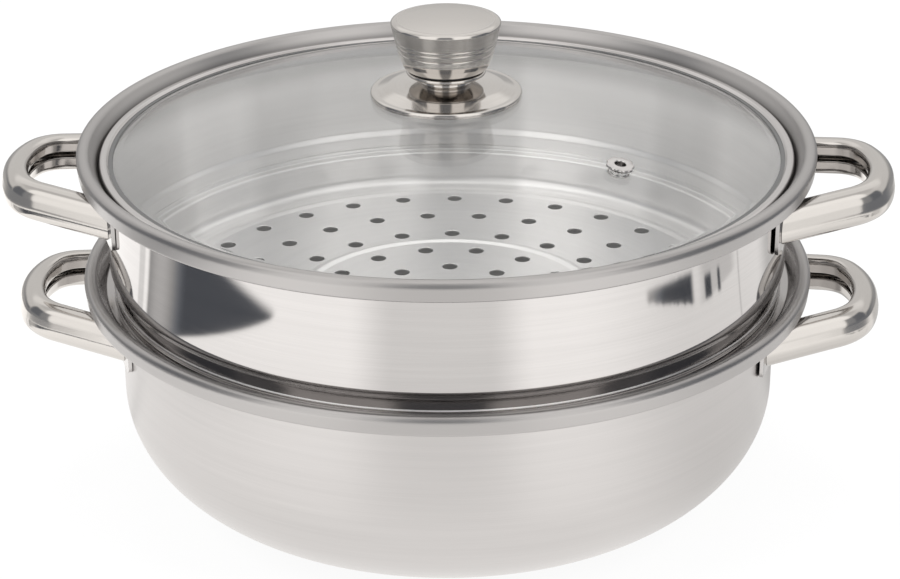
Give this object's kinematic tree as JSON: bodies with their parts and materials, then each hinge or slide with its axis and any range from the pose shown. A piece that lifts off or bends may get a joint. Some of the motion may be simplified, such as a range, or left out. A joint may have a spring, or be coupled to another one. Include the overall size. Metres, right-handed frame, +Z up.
{
  "type": "steamer pot",
  "caption": "Low round cooking pot with a perforated steamer tray nested in its mouth, a domed glass lid with a steel knob, and strap loop handles on both tiers.",
  "frame": {"origin": "centre of the pot's flat base, on the surface that it stands on", "axes": "+Z up along the axis of both tiers and the lid, +X through the middle of the right-hand handles, +Y to the back"},
  "size_m": [0.3588, 0.2942, 0.1996],
  "materials": {
    "satin_steel": "stainless steel, satin with faint level brushing",
    "bright_steel": "stainless steel, polished wall and satin rim",
    "handle_steel": "stainless steel, mirror polished",
    "bracket_steel": "stainless steel, plain",
    "lid_glass": "clear tempered glass",
    "band_steel": "stainless steel, bright",
    "clear_silicone": "translucent grey silicone",
    "black_silicone": "black silicone",
    "knob_steel": "stainless steel, polished side and satin top",
    "insert_brass": "turned",
    "bush_aluminium": "turned",
    "screw_steel": "zinc bright"
  },
  "bodies": {
    "pot": {"pot_shell": "satin_steel", "pot_handle_left": "handle_steel", "pot_handle_right": "handle_steel", "pot_bracket_left_front": "bracket_steel", "pot_bracket_left_back": "bracket_steel", "pot_bracket_right_front": "bracket_steel", "pot_bracket_right_back": "bracket_steel"},
    "steamer": {"steamer_shell": "bright_steel", "steamer_handle_left": "handle_steel", "steamer_handle_right": "handle_steel", "steamer_bracket_left_front": "bracket_steel", "steamer_bracket_left_back": "bracket_steel", "steamer_bracket_right_front": "bracket_steel", "steamer_bracket_right_back": "bracket_steel"},
    "lid": {"lid_glass": "lid_glass", "lid_rim_band": "band_steel", "lid_edge_seal": "clear_silicone", "vent_eyelet": "knob_steel", "vent_washer": "clear_silicone", "knob_skirt": "knob_steel", "knob_gasket": "black_silicone", "knob_body": "knob_steel", "knob_cap": "knob_steel", "knob_bush": "bush_aluminium", "knob_insert": "insert_brass", "knob_screw": "screw_steel", "knob_seal_upper": "clear_silicone", "knob_seal_lower": "clear_silicone", "knob_steel_washer": "screw_steel"}
  },
  "joints": [
    {"name": "steamer_lift", "type": "slide", "parent": "pot", "child": "steamer", "axis": [0, 0, 1], "range_m": [0, 0.09]},
    {"name": "lid_lift", "type": "slide", "parent": "steamer", "child": "lid", "axis": [0, 0, 1], "range_m": [0, 0.08]}
  ]
}
